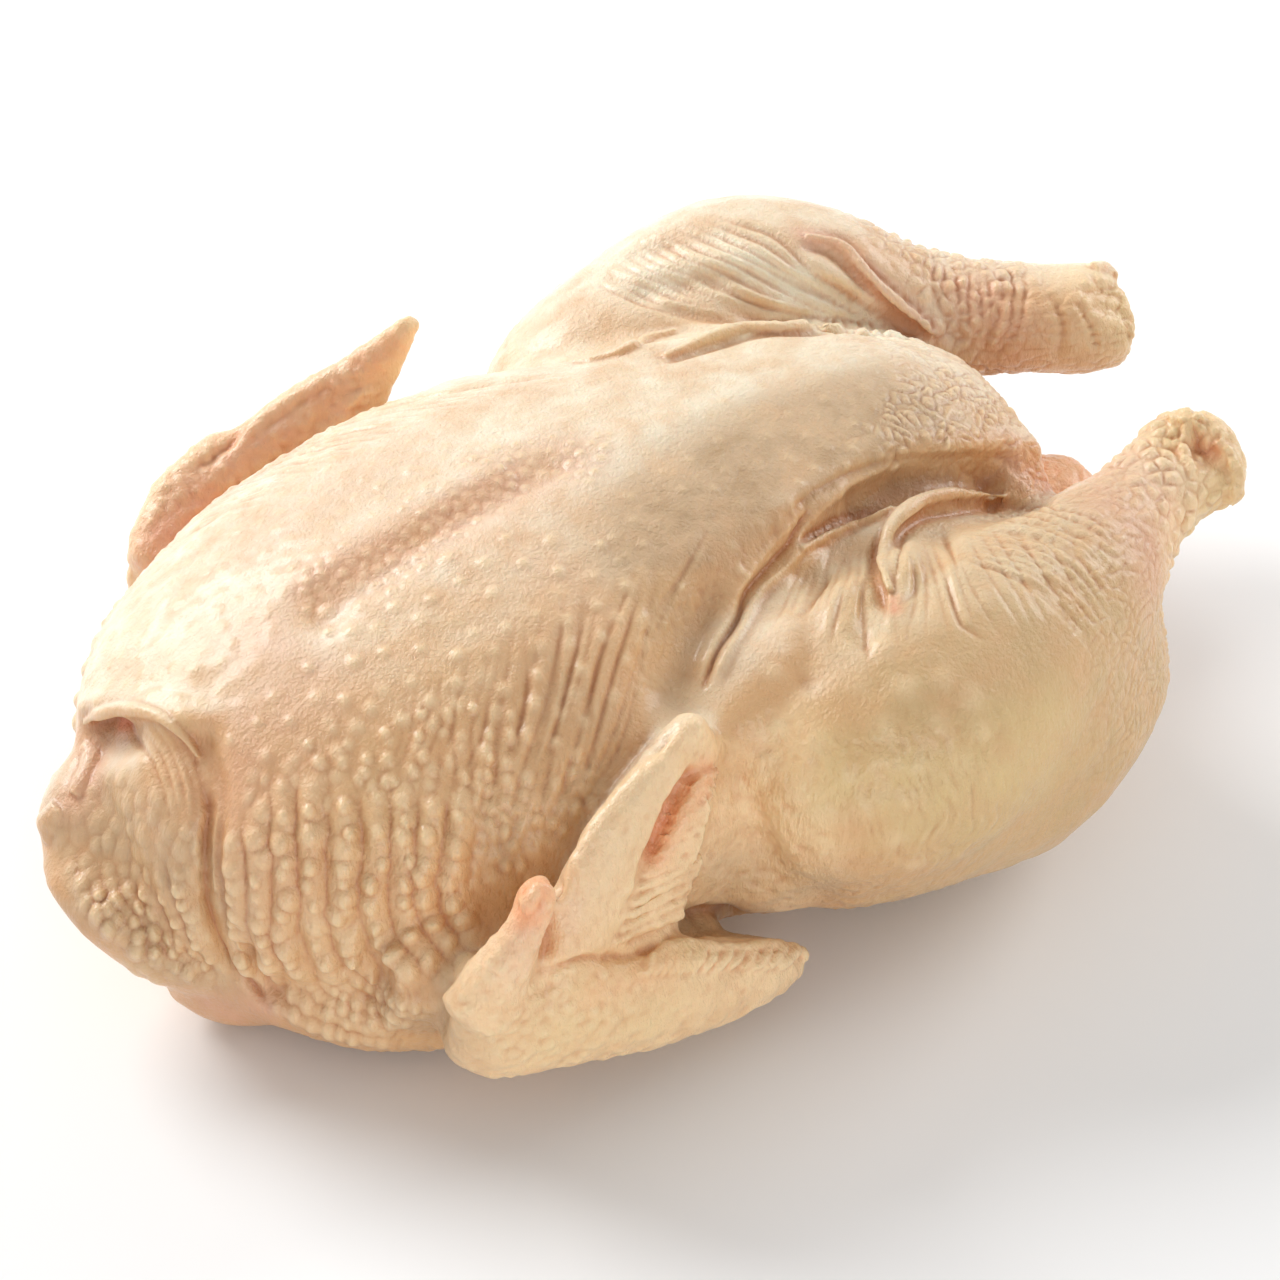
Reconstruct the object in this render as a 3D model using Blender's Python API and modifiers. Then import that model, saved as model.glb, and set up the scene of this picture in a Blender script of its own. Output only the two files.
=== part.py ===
"""A raw, oven-ready chicken lying on its back, breast up, at its real size.

The frame is in metres with +Z up: the neck end points to -X, the legs to +X and the bird's own left
side to +Y. Stations and folds below are in steps of STEP, which sets the size of the whole bird. Torso,
legs, wings and neck skin are lofted through rounded sections and merged into one skin by a voxel remesh.
The vent is cut into it, and its folds are pressed in.
"""

import math

import bmesh
import bpy
import numpy as np
from mathutils import Vector

STEP = 0.0009

# Torso stations from the neck end to the vent:
# (x, half width, top of the keel, underside, height of the widest point)
TORSO = (
    (-139, 18, 64, 34, 50),
    (-133, 32, 76, 22, 50),
    (-119, 48.5, 87, 10, 50),
    (-98, 63, 95, 2, 49),
    (-70, 75, 102, -3, 48),
    (-35, 79, 107, -4, 48),
    (0, 76, 107, -4, 47),
    (35, 68, 104, -3, 47),
    (65, 58, 100, 0, 48),
    (86, 45, 92, 8, 50),
    (101, 36, 82.5, 18, 50),
)
TORSO_Y = 3
TORSO_TOP_POWER = 2.15
TORSO_BACK_POWER = 2.6

# Limb stations from root to tip: (x, y, z, half width across, half thickness up)
LIMBS = {
    "near_thigh": (
        (-16, -56, 31, 20, 18),
        (6, -57.5, 36, 27.5, 27),
        (32, -58.5, 38, 33.5, 33),
        (58, -57, 38, 38, 36),
        (84, -50.5, 38, 33, 32),
        (101, -45, 38, 24, 24),
        (112, -41, 38, 13, 14),
    ),
    "near_leg_side": (
        (4, -62, 45, 29, 34),
        (32, -63, 47, 34.5, 40),
        (62, -59, 49, 34.5, 40),
        (90, -51, 52, 25, 32),
        (106, -45, 54, 15, 22),
    ),
    # skin drawn up from the thigh to its fold against the breast
    "near_web": (
        (-24, -63, 71, 10, 10),
        (-10, -60, 77, 13, 11),
        (6, -57, 81, 16, 11.5),
        (22, -55, 82, 17, 12),
        (40, -52, 79, 17, 12),
        (58, -48, 75, 16, 11),
        (78, -44, 70, 13, 10),
        (94, -41, 66, 10, 9),
    ),
    "near_drumstick": (
        (-8, -62, 50, 22, 24),
        (4, -64, 53, 31, 33),
        (26, -66, 56, 36, 37),
        (50, -63, 60, 34, 34),
        (76, -57, 62, 27, 27),
        (98, -50, 66, 19, 19),
        (112, -45, 68.5, 14, 14),
        (122, -41, 70, 13, 13),
        (132, -38, 71, 14, 13.5),
        (140, -35, 72, 12, 11),
    ),
    "far_thigh": (
        (17, 66, 34, 22, 21),
        (38, 69, 38, 33, 32),
        (66, 69, 40, 38, 36),
        (90, 62, 40, 35, 34),
        (108, 52, 38, 26, 26),
        (119, 46, 37, 13, 14),
    ),
    "far_leg_side": (
        (21, 66, 46, 29, 32),
        (46, 70, 50, 34, 38.5),
        (76, 68, 52, 34, 38),
        (100, 57, 53, 24, 29),
        (114, 49, 53, 15, 20),
    ),
    "far_drumstick": (
        (11, 63, 53, 19, 20),
        (22, 67, 56, 28, 29),
        (46, 71.5, 60.5, 31, 31.5),
        (72, 72, 66, 31, 32),
        (95, 62, 66, 25.5, 26),
        (116, 50.5, 63.5, 17, 17),
        (130, 42, 63, 15, 15),
        (142, 36, 62, 14.5, 14),
        (152, 32, 61, 15, 14),
        (160, 29, 60, 12, 11),
    ),
    # the rear end under the vent, with the fatty tail stub
    "tail": (
        (70, 3, 20, 34, 20),
        (95, 3, 22, 30, 21),
        (112, 3, 27, 22, 18),
        (124, 3, 32, 16, 13),
        (135, 3, 35, 8, 7),
    ),
    "vent_flesh": (
        (86, -2, 42, 20, 14),
        (96, -4, 46, 16, 14),
        (103, -6, 48, 11, 11),
        (108, -7, 48, 6, 6),
    ),
    # neck skin folded down over the neck, from the front of the breast to the bed
    "neck_skin": (
        (-108, 2, 72, 22, 10),
        (-117, 4, 64, 25, 12),
        (-125, 5, 52, 26, 15),
        (-132, 2, 37, 25, 15),
        (-127, -6, 23, 21, 13),
        (-116, -14, 14, 17, 10),
    ),
    "neck_lobe": (
        (-131, 15, 53, 12, 10),
        (-141, 14, 46, 12, 10),
        (-145, 13, 38, 9, 8),
    ),
    "neck_end": (
        (-131, -9, 11, 8, 8),
        (-125, -18, 8.5, 9, 9),
        (-116, -27, 9.5, 8.5, 8.5),
    ),
    "near_shoulder": (
        (-126, -10, 18, 10, 12),
        (-114, -28, 17, 13, 13),
        (-99, -44, 16, 14, 13.5),
        (-84, -54, 19, 14, 16),
        (-68, -58, 24, 12, 18),
    ),
    "far_shoulder": (
        (-118, 34, 20, 12, 13),
        (-100, 50, 18, 14, 14),
        (-84, 60, 20, 14, 16),
        (-68, 66, 24, 12, 18),
    ),
    # folded wings: forearm and upper arm near the bed, the flat hand and its thumb leaning on the body
    "near_forearm": (
        (-95, -77, 38, 8, 14),
        (-86, -82, 35.5, 9.5, 19),
        (-71, -85.5, 33.5, 9, 17.5),
        (-51, -87, 27, 8.5, 16),
        (-31, -87, 20.5, 7.5, 13),
        (-15, -86, 15.5, 5.5, 7.5),
        (-7, -84.5, 13, 3, 3.5),
    ),
    "near_upper_arm": (
        (-100, -56, 36, 14, 16),
        (-75, -66, 33, 13, 19),
        (-48, -73, 22, 11, 12),
        (-30, -77.5, 16, 8, 10.5),
        (-19, -80.5, 13.5, 6.5, 8.5),
        (-10, -83, 12.5, 4, 5),
    ),
    "near_hand": (
        (-90, -82, 36, 8, 14),
        (-80, -84, 42, 8, 17),
        (-70, -84, 48, 7, 17),
        (-60, -81, 57, 6.5, 18),
        (-52, -78, 66, 6, 18),
        (-42.5, -75, 75.5, 5.5, 12.5),
        (-33, -72, 84, 5, 8.2),
        (-26, -70, 88.5, 4.5, 4.5),
    ),
    # the hand's trailing edge, turned out over the thigh
    "near_hand_edge": (
        (-25, -70.5, 83, 4, 3.5),
        (-30.5, -73, 76, 4.5, 5.5),
        (-34, -75.5, 67, 4.5, 8.5),
        (-37.5, -77, 59, 4.5, 9),
        (-41.5, -78.5, 51, 5, 9.5),
        (-47, -80, 40, 5, 8),
    ),
    "near_thumb": (
        (-93, -85, 42, 7, 10),
        (-89, -87, 53, 6, 8),
        (-82.5, -87.5, 64, 5.5, 6),
        (-77.5, -86, 74, 4.5, 4.5),
        (-76, -85, 77, 3, 3.5),
    ),
    "far_forearm": (
        (-90, 80, 36, 10, 15),
        (-80, 86, 36, 11, 18),
        (-64, 90, 31, 10, 19),
        (-46, 92, 26, 9, 17),
        (-28, 91, 20, 8, 13),
        (-12, 90, 16, 6, 9),
        (-5, 89, 13, 4, 5),
    ),
    "far_upper_arm": (
        (-95, 60, 34, 14, 16),
        (-72, 73, 28, 14, 18),
        (-43, 81, 22, 12, 14),
        (-18, 85, 17, 9, 11),
        (-6, 88, 14, 4, 6),
    ),
    "far_hand": (
        (-90, 82, 42, 8, 12),
        (-77, 88, 46, 8, 15),
        (-61, 92, 51, 7.5, 16),
        (-45, 93, 59, 7, 15.5),
        (-33, 90, 69, 6, 12.5),
        (-24, 88, 78, 5, 8),
        (-15.5, 86.5, 87.5, 3.5, 4),
        (-13, 86, 91.5, 3, 3),
    ),
    "far_thumb": (
        (-90, 84, 47, 6, 8),
        (-85, 89, 54, 5.5, 6),
        (-76, 93, 60, 5, 5),
        (-66, 96, 63.5, 4.5, 4.5),
        (-59, 97, 64.5, 3.5, 3.5),
    ),
}

# The body cavity, open at the vent: sections of the shape that is cut away
CAVITY = (
    (56, 3, 58, 8, 6),
    (64, 3, 58, 17, 12),
    (78, 3, 59, 23, 15),
    (94, 3, 63, 25, 13),
    (106, 3, 67, 26, 10),
    (125, 3, 69, 27, 10),
)

# Folds of the skin: (depth in, or height out if negative; half width; points along it)
FOLDS = (
    # the valley along the keel, and the ridge that it runs into
    (2.2, 5.5, ((-88, -6, 98), (-74, -4, 101), (-50, -2, 105), (-22, 2, 107))),
    (-1.6, 5, ((-84, 7, 97), (-60, 8, 102), (-36, 9, 104))),
    (-1.2, 6, ((0, 3, 107), (46, 3, 103), (78, 5, 97))),
    # the hollow between the breast and the near leg, with the breast's fold above it
    (8.0, 9, ((30, -38, 95), (46, -33, 94), (64, -31, 90), (84, -31, 82))),
    (4.8, 8, ((-26, -56, 88), (-15, -48, 93), (0, -45, 94), (18, -41, 95))),
    (-2.0, 4, ((20, -31, 99), (47, -24, 98), (64, -22, 95), (84, -22, 87), (98, -20, 78))),
    (-3.5, 4.5, ((88, -29, 77), (73, -29, 81), (56, -33, 88), (46, -40, 90), (36, -54, 93))),
    (-2.0, 3.5, ((20, -36, 91), (34, -36, 90), (48, -33, 88))),
    # creases that run down the near leg from that fold
    (2.2, 3, ((56, -44, 89), (44, -58, 93), (32, -68, 91))),
    (2.2, 3, ((38, -44, 90), (27, -58, 94), (17, -70, 89))),
    (2.0, 3, ((20, -44, 89), (10, -58, 92), (2, -70, 86))),
    # the hollow and the breast's fold on the far side
    (5.0, 7, ((2, 56, 88), (24, 47, 92), (48, 41, 93), (72, 37, 89), (92, 34, 80))),
    (-2.0, 4, ((20, 38, 99), (48, 31, 98), (74, 29, 93), (92, 26, 84))),
    # wrinkles along the far leg
    (2.0, 3, ((46, 78, 94), (70, 66, 93), (92, 52, 85), (110, 42, 75))),
    (2.0, 3, ((40, 66, 92), (64, 57, 92), (88, 45, 84), (104, 38, 74))),
    # the fold of the neck skin on the breast, its lip, and the hollow under the lip
    (4.0, 4, ((-123, -14, 82), (-126, -25, 75), (-131, -31, 57), (-129, -34, 40), (-121, -38, 23))),
    (-2.5, 4, ((-136, 25, 67), (-134, 13, 77), (-127, 0, 83), (-121, -11, 85))),
    (6.0, 6, ((-138, 18, 64), (-136, 11, 69), (-132, 5, 73))),
    # the groove of the near wing's hand, and the one between it and the thumb
    (2.5, 5, ((-31, -79, 82), (-36, -81, 76), (-42, -84, 70), (-47, -86, 64))),
    (2.5, 4, ((-70, -86, 67), (-77, -91, 60), (-80, -92, 50))),
    # the bared knuckles at the hocks
    (4.0, 5, ((127, -42, 84), (133, -46, 80))),
    (-2.5, 6, ((137, -41, 79), (137, -48, 70))),
    (2.5, 3, ((150, 24, 71), (158, 22, 69))),
    (-2.0, 6, ((156, 20, 58), (158, 24, 52))),
)

# The bird rests on its back, which is flat up to this height above its lowest point
FLAT = 1.8

COLOUR = (0.80, 0.56, 0.36, 1.0)
ROUGHNESS = 0.42

VOXEL = 2.0
SMOOTH_ROUNDS = 6
SMOOTH_FACTOR = 0.5
TRIANGLES = 11600
TORSO_POINTS = 40
LIMB_POINTS = 20
RINGS_PER_SPAN = 5
STEEP = 0.2  # a centre line with less than this share of it level keeps the last ring's sideways direction


def clear_scene():
    """Removes every object of the file that the script runs in."""
    for item in list(bpy.data.objects):
        bpy.data.objects.remove(item, do_unlink=True)


def collection(name):
    """A new collection in the scene."""
    made = bpy.data.collections.new(name)
    bpy.context.scene.collection.children.link(made)
    return made


def catmull_rom(rows, steps):
    """The rows of numbers with a smooth curve through them, in steps to each span."""
    rows = np.array(rows, float)
    padded = np.vstack([2 * rows[0] - rows[1], rows, 2 * rows[-1] - rows[-2]])
    out = []
    for i in range(len(rows) - 1):
        a, b, c, d = padded[i : i + 4]
        for t in np.arange(steps) / steps:
            bend = (2 * a - 5 * b + 4 * c - d) * t**2 + (3 * b - 3 * c + d - a) * t**3
            out.append(0.5 * (2 * b + (c - a) * t + bend))
    out.append(rows[-1])
    return np.array(out)


def superellipse(angle, power):
    """A point of the unit superellipse at this angle."""
    c, s = math.cos(angle), math.sin(angle)
    return math.copysign(abs(c) ** (2 / power), c), math.copysign(abs(s) ** (2 / power), s)


def loft(name, rings, into):
    """A closed mesh through rings of points, with a fan on each end."""
    bm = bmesh.new()
    made = [[bm.verts.new(Vector(p) * STEP) for p in ring] for ring in rings]
    for low, high in zip(made, made[1:]):
        for i in range(len(low)):
            j = (i + 1) % len(low)
            bm.faces.new((low[i], low[j], high[j], high[i]))
    for ring in (made[0], made[-1]):
        centre = bm.verts.new(sum((v.co for v in ring), Vector()) / len(ring))
        for i, v in enumerate(ring):
            bm.faces.new((v, ring[(i + 1) % len(ring)], centre))
    bmesh.ops.recalc_face_normals(bm, faces=bm.faces)
    mesh = bpy.data.meshes.new(name)
    bm.to_mesh(mesh)
    bm.free()
    made_object = bpy.data.objects.new(name, mesh)
    into.objects.link(made_object)
    return made_object


def torso(into):
    """Breast, back and belly in one loft along X, flatter below than above."""
    rings = []
    for x, half, top, under, widest in catmull_rom(TORSO, RINGS_PER_SPAN):
        ring = []
        for k in range(TORSO_POINTS):
            angle = 2 * math.pi * k / TORSO_POINTS
            power = TORSO_TOP_POWER if math.sin(angle) >= 0 else TORSO_BACK_POWER
            across, up = superellipse(angle, power)
            height = top - widest if up >= 0 else widest - under
            ring.append((x, TORSO_Y + half * across, widest + height * up))
        rings.append(ring)
    return loft("torso", rings, into)


def limb(name, stations, into):
    """A limb of elliptical sections square to its centre line."""
    rows = catmull_rom(stations, RINGS_PER_SPAN)
    centres = rows[:, :3]
    along = np.gradient(centres, axis=0)
    rings = []
    side = Vector((0, -1, 0))
    for centre, direction, (width, thick) in zip(centres, along, rows[:, 3:5]):
        direction = Vector(direction).normalized()
        level = Vector((0, 0, 1)).cross(direction)
        if level.length > STEEP:
            side = -level.normalized() if rings and level.dot(side) < 0 else level.normalized()
        up = direction.cross(side).normalized()
        ring = []
        for k in range(LIMB_POINTS):
            angle = 2 * math.pi * k / LIMB_POINTS
            ring.append(Vector(centre) + side * (width * math.cos(angle)) + up * (thick * math.sin(angle)))
        rings.append(ring)
    return loft(name, rings, into)


def merged(name, pieces, cutter, into):
    """One closed skin around all the pieces, with the cutter taken away."""
    bm = bmesh.new()
    for piece in pieces:
        bm.from_mesh(piece.data)
    mesh = bpy.data.meshes.new(name)
    bm.to_mesh(mesh)
    bm.free()
    whole = bpy.data.objects.new(name, mesh)
    into.objects.link(whole)
    remesh = whole.modifiers.new("skin", "REMESH")
    remesh.mode = "VOXEL"
    remesh.voxel_size = VOXEL * STEP
    cut = whole.modifiers.new("cavity", "BOOLEAN")
    cut.operation = "DIFFERENCE"
    cut.object = cutter
    again = whole.modifiers.new("skin_again", "REMESH")
    again.mode = "VOXEL"
    again.voxel_size = VOXEL * STEP
    smooth = whole.modifiers.new("soften", "SMOOTH")
    smooth.factor = SMOOTH_FACTOR
    smooth.iterations = SMOOTH_ROUNDS
    bake(whole)
    return whole


def bake(item):
    """Applies the object's modifiers to its mesh."""
    graph = bpy.context.evaluated_depsgraph_get()
    graph.update()
    mesh = bpy.data.meshes.new_from_object(item.evaluated_get(graph))
    item.modifiers.clear()
    item.data = mesh


def distance_to(points, line):
    """How far each point is from the line through the given points."""
    rows = catmull_rom(line, RINGS_PER_SPAN)
    nearest = np.full(len(points), np.inf)
    for a, b in zip(rows, rows[1:]):
        along = b - a
        share = np.clip((points - a) @ along / (along @ along), 0, 1)
        nearest = np.minimum(nearest, np.linalg.norm(points - a - share[:, None] * along, axis=1))
    return nearest


def fold(whole):
    """Presses each of the FOLDS into the skin along the skin's own normals."""
    mesh = whole.data
    points = np.empty(3 * len(mesh.vertices))
    mesh.vertices.foreach_get("co", points)
    points = points.reshape(-1, 3) / STEP
    for depth, width, line in FOLDS:
        normals = np.empty(3 * len(mesh.vertices))
        mesh.vertex_normals.foreach_get("vector", normals)
        amount = depth * np.exp(-((distance_to(points, line) / width) ** 2))
        points -= amount[:, None] * normals.reshape(-1, 3)
        mesh.vertices.foreach_set("co", (points * STEP).ravel())
        mesh.update()


def flatten(whole):
    """Makes the underside flat and puts the middle of its bounding box on the origin."""
    mesh = whole.data
    points = np.empty(3 * len(mesh.vertices))
    mesh.vertices.foreach_get("co", points)
    points = points.reshape(-1, 3)
    bed = points[:, 2].min() + FLAT * STEP
    points[:, 2] = np.maximum(points[:, 2], bed) - bed
    middle = (points[:, :2].min(axis=0) + points[:, :2].max(axis=0)) / 2
    points[:, :2] -= middle
    mesh.vertices.foreach_set("co", points.ravel())
    mesh.update()


def thin_out(whole):
    """Lowers the count of triangles, keeping more of them at folds and edges."""
    fewer = whole.modifiers.new("fewer", "DECIMATE")
    fewer.ratio = TRIANGLES / sum(len(face.vertices) - 2 for face in whole.data.polygons)
    fewer.use_collapse_triangulate = True
    bake(whole)


def raw_skin():
    """The material of the bird."""
    made = bpy.data.materials.new("raw_skin")
    made.use_nodes = True
    shader = made.node_tree.nodes["Principled BSDF"]
    shader.inputs["Base Color"].default_value = COLOUR
    shader.inputs["Roughness"].default_value = ROUGHNESS
    shader.inputs["Metallic"].default_value = 0.0
    return made


def main():
    clear_scene()
    forms = collection("forms")
    bird = collection("chicken_parts")
    torso(forms)
    for name, stations in LIMBS.items():
        limb(name, stations, forms)
    pieces = list(forms.objects)
    cutters = collection("cutters")
    cutters.hide_render = True
    cavity = limb("cavity", CAVITY, cutters)
    cavity.display_type = "WIRE"
    whole = merged("chicken", pieces, cavity, bird)
    fold(whole)
    thin_out(whole)
    flatten(whole)
    whole.data.materials.clear()
    whole.data.materials.append(raw_skin())
    for piece in list(forms.objects):
        bpy.data.objects.remove(piece, do_unlink=True)
    return whole


main()
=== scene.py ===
"""The looks of a raw corn-fed chicken that lies on its back, breast up.

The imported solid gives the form. A fine skin is grown on a copy of it, sculpted with folds, wrinkles and
follicles along its own normals, and coloured through masks on its points. Sculpting is in millimetres.
Lines on the skin are pixels of the 1280 x 1280 photograph, cast through its camera onto the solid. What
the photograph hides is finished with many of the same lines, mirrored across the bird.
"""

import math

import bpy
import numpy as np
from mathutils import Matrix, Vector
from mathutils.bvhtree import BVHTree


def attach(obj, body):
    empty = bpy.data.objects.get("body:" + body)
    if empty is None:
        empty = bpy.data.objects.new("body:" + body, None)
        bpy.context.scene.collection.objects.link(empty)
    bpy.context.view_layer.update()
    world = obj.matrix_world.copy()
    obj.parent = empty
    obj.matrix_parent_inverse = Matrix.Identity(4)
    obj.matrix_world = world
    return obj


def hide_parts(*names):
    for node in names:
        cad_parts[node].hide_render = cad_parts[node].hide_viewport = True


MM = 0.001
SEED = 7

# The photograph's camera
PHOTO = 1280
LENS = 128.4
SENSOR = 36.0
FOCAL = LENS / SENSOR * PHOTO
AZIMUTH = math.radians(-31)
ELEVATION = math.radians(42)
DISTANCE = 990.0
TARGET = Vector((-3.21, -2.25, 42.58))
BACK = Vector((
    math.sin(AZIMUTH) * math.cos(ELEVATION),
    -math.cos(AZIMUTH) * math.cos(ELEVATION),
    math.sin(ELEVATION),
))
RIGHT = Vector((math.cos(AZIMUTH), math.sin(AZIMUTH), 0))
UP = BACK.cross(RIGHT)

# The fine skin: its voxels, and the rounds that even it out and the two shares of each round
BASE_VOXEL = 1.2
BASE_ROUNDS = 22
FINE_VOXEL = 0.52
FINE_ROUNDS = 3
SHRINK = 0.5
REGROW = -0.53

# Lines on the skin: the step along them, how far a place may lie in front of or behind its neighbours, how
# many neighbours count on each side, and the reach and steps of the search where a pixel misses the solid
LINE_STEP = 1.5
JUMP = 5.0
JUMP_SPAN = 3
RAY_REACH = 170
RAY_STEP = 3.0

# The grid that finds the points near a line, and how uneven the edges of a place are, in pixels
CELL = 4.0
EDGE_RAGGED = 26.0

# Rounds that soften a place's edge, rounds that give the relief's surroundings, and the relief's full height
SOFT_ROUNDS = 40
RELIEF_ROUNDS = 9
RELIEF_MOST = 0.4

# How many half widths a crease or a painted line reaches, and how much of a crease is left at its ends
PRESS_REACH = 2.6
PAINT_REACH = 2.2
END_SHARE = 0.25

# Rows of beads: the ridge's share of their height, the beads' radius and stray as shares of the half width,
# and how much longer they are upright, below 1
RIDGE_SHARE = 0.55
BEAD_SHARE = 0.72
BEAD_STRAY = 0.16
BEAD_STRETCH = 0.68

# Bumps: how many radii they reach, how flat their tops are, and the strength and spread of their pale tint,
# which is partly a painted highlight
BUMP_REACH = 1.8
BUMP_FLATNESS = 2.4
BUMP_TINT = 0.6
BUMP_TINT_SPREAD = 0.7

# Masks for the colours. Some carry painted light: a paler painted highlight towards the light, a darker
# painted shade on the near side, painted shade in hollows with the brownish tint, a pale tint on bumps that
# is partly a painted highlight, and relief, which gives painted shade in creases and a painted highlight on
# what stands out.
MASKS = ("painted_highlight", "near_side_shade", "peach", "flesh", "pink", "yellow", "red", "grey_and_shade", "pale", "relief")

# Rolled edges and lobes that stand off the skin: (radii at the ends and middle, lift, pixels along it)
ROLLS = {
    "leg_roll": ((1.2, 2.1, 2.3, 1.6, 0.6), 0.4, (
        (1006, 498), (985, 495), (952, 494), (925, 500), (905, 513), (892, 530), (886, 550), (885, 570),
        (890, 592))),
    "leg_ridge": ((0.8, 1.4, 1.5, 1.0), 0.3, (
        (800, 549), (817, 540), (845, 527), (870, 518), (893, 508))),
    "far_edge": ((1.0, 1.8, 1.6, 0.6), 0.2, (
        (665, 357), (695, 345), (720, 335), (750, 328), (775, 330), (810, 325), (840, 322))),
    "far_roll": ((0.8, 1.5, 1.5, 0.8), 0.1, (
        (560, 360), (585, 361), (615, 354), (642, 342), (675, 331))),
    "neck_lip": ((0.8, 1.6, 1.7, 1.2, 0.8), 0.4, (
        (86, 722), (98, 714), (116, 709), (143, 711), (163, 718), (183, 736), (198, 760))),
    "far_leg_fold": ((0.8, 1.5, 1.5, 0.8), 0.3, (
        (805, 237), (825, 240), (845, 248), (865, 272), (890, 297), (915, 317), (935, 335))),
    "thumb_tip": ((1.4, 1.7, 2.0, 1.2), -0.4, ((541, 872), (538, 882), (532, 896), (524, 912))),
    "forearm_edge": ((0.9, 1.5, 1.4, 1.2, 0.8), 0.3, (
        (648, 955), (680, 945), (710, 947), (740, 948), (770, 946), (795, 951), (806, 958))),
    "hock_top": ((2.0, 3.0, 2.2), -0.8, ((1168, 420), (1184, 416), (1200, 424))),
    "hock_rim": ((2.0, 2.6, 2.6, 1.8), -0.8, ((1216, 440), (1232, 458), (1238, 480), (1232, 504))),
    "hock_inner": ((1.2, 1.8, 1.4), -0.2, ((1178, 440), (1186, 460), (1196, 472))),
    "far_hock_top": ((2.0, 2.8, 2.0), -0.8, ((1092, 268), (1106, 266), (1120, 270))),
    "far_hock_rim": ((1.8, 2.6, 2.0), -0.8, ((1126, 290), (1131, 312), (1129, 336))),
    "neck_tissue": ((1.6, 2.6, 2.2, 1.2), -0.5, ((84, 745), (92, 758), (84, 776), (74, 795))),
    "neck_lobe": ((2.0, 3.4, 2.6), -1.2, ((46, 842), (48, 824), (58, 806))),
}

# Creases, or ridges where the depth is below 0: (depth, half width, pixels along it)
CREASES = {
    "keel": (-0.5, 3.4, (
        (338, 600), (365, 582), (400, 567), (440, 546), (480, 526), (515, 508), (545, 492), (566, 478))),
    "neck_fill": (-1.3, 2.4, ((215, 796), (214, 835), (214, 872), (216, 900))),
    "neck_fold": (2.2, 1.3, (
        (208, 786), (210, 813), (206, 840), (206, 873), (208, 900), (216, 933), (228, 962), (253, 986),
        (266, 1003))),
    "under_lip": (2.6, 1.8, ((92, 730), (104, 725), (117, 723), (132, 727))),
    "breast_edge": (1.2, 1.5, (
        (792, 512), (815, 492), (850, 474), (900, 460), (950, 456), (1000, 455), (1018, 466))),
    "leg_roll_under": (1.6, 1.4, (
        (1012, 503), (985, 507), (950, 511), (925, 517), (905, 531), (898, 550), (895, 575))),
    "leg_roll_left": (1.2, 1.2, ((880, 535), (874, 560), (877, 585), (884, 612))),
    "leg_ridge_over": (1.4, 1.3, ((800, 543), (830, 525), (862, 511), (890, 502))),
    "web_slit": (1.5, 0.8, (
        (807, 512), (792, 539), (771, 564), (746, 591), (737, 619), (719, 649), (703, 686))),
    "web_ridge": (-1.1, 1.2, ((803, 546), (783, 570), (761, 591), (748, 619), (733, 649), (714, 686))),
    "web_second": (-0.5, 1.0, ((798, 516), (770, 546), (748, 572), (732, 596))),
    "web_fill": (-1.7, 3.2, ((752, 560), (735, 590), (722, 620), (714, 650), (704, 682))),
    "leg_1": (0.6, 0.9, ((832, 570), (815, 596), (799, 620))),
    "leg_2": (0.6, 0.9, ((842, 592), (834, 622), (830, 642))),
    "leg_3": (0.6, 0.9, ((853, 585), (845, 612), (840, 625))),
    "leg_4": (0.6, 0.9, ((867, 572), (864, 618), (868, 662))),
    "leg_5": (0.6, 0.9, ((915, 560), (914, 590), (900, 606))),
    "leg_6": (0.6, 0.9, ((935, 550), (945, 575), (954, 600), (962, 622), (986, 641))),
    "leg_7": (0.5, 0.8, ((943, 533), (950, 552), (962, 570))),
    "far_fold_under": (1.4, 1.4, ((800, 246), (828, 252), (850, 270), (878, 300), (908, 326), (932, 345))),
    "far_fold_over": (1.0, 1.2, ((822, 232), (850, 240), (872, 266), (900, 292), (930, 318))),
    "far_edge_under": (1.0, 1.2, ((662, 363), (700, 352), (750, 336), (800, 333), (850, 330), (896, 341))),
    "leg_hollow": (3.2, 4.2, ((842, 512), (872, 498), (920, 482), (975, 478), (1008, 482))),
    "leg_hollow_rim": (-1.0, 2.0, (
        (800, 528), (830, 500), (868, 476), (905, 461), (960, 452), (1012, 452))),
    "breast_hollow": (1.2, 4.5, ((716, 575), (708, 610), (694, 650), (676, 690))),
    "hand_hollow": (2.2, 2.2, ((701, 768), (690, 776), (674, 797), (664, 818), (654, 842), (646, 862))),
    "hand_hollow_rim": (-0.7, 1.8, (
        (694, 752), (676, 776), (660, 800), (648, 830), (636, 862), (624, 900))),
    "hand_tip_left": (2.4, 3.0, ((644, 758), (658, 740), (672, 722))),
    "arm_gap": (2.4, 1.7, ((672, 921), (700, 913), (730, 913), (758, 918))),
    "hand_thumb": (2.0, 1.4, ((559, 882), (556, 905), (550, 928), (548, 950), (540, 972))),
    "hand_forearm": (1.5, 1.3, ((543, 972), (563, 967), (586, 961), (616, 957), (640, 952), (656, 944))),
    "far_thumb": (1.4, 1.4, ((195, 470), (214, 456), (228, 444), (241, 430))),
    "far_hand": (0.7, 1.6, ((250, 440), (300, 405), (350, 370))),
    "hock": (2.0, 1.6, ((1196, 430), (1200, 445), (1212, 456))),
    "far_hock_below": (1.5, 1.4, ((1080, 292), (1100, 291), (1128, 297))),
    "far_hock_side": (1.0, 1.3, ((1078, 302), (1092, 326), (1098, 352))),
    "far_hock_skin": (0.9, 1.2, ((1052, 296), (1064, 326), (1058, 358))),
    "far_hock": (1.8, 1.4, ((1090, 272), (1104, 284), (1124, 281))),
}

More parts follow.
